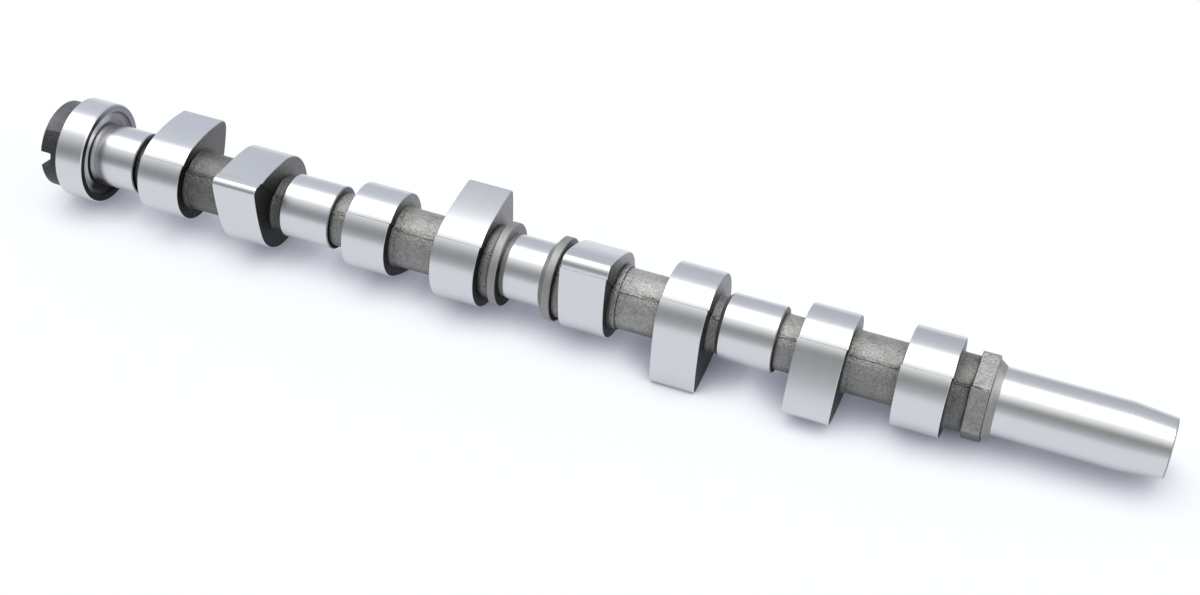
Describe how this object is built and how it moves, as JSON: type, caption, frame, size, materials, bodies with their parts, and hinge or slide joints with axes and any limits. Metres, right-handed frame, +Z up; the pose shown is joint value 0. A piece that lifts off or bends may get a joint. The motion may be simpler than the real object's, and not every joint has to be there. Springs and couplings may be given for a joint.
{
  "type": "camshaft",
  "caption": "Cast overhead camshaft with ground lobes and journals, thrust collars, a slotted drive end, a hexagon and a tapered nose with a bolt hole.",
  "frame": {"origin": "middle of the thrust journal, on the shaft's axis", "axes": "+X along the shaft towards the tapered nose, +Z up as the shaft lies on a flat surface"},
  "size_m": [0.4604, 0.0472, 0.0472],
  "materials": {
    "chilled_cast_iron": "ground bright on lobes, journals, ring and taper; grainy as cast between them"
  },
  "bodies": {
    "root": {"camshaft": "chilled_cast_iron"}
  },
  "joints": []
}
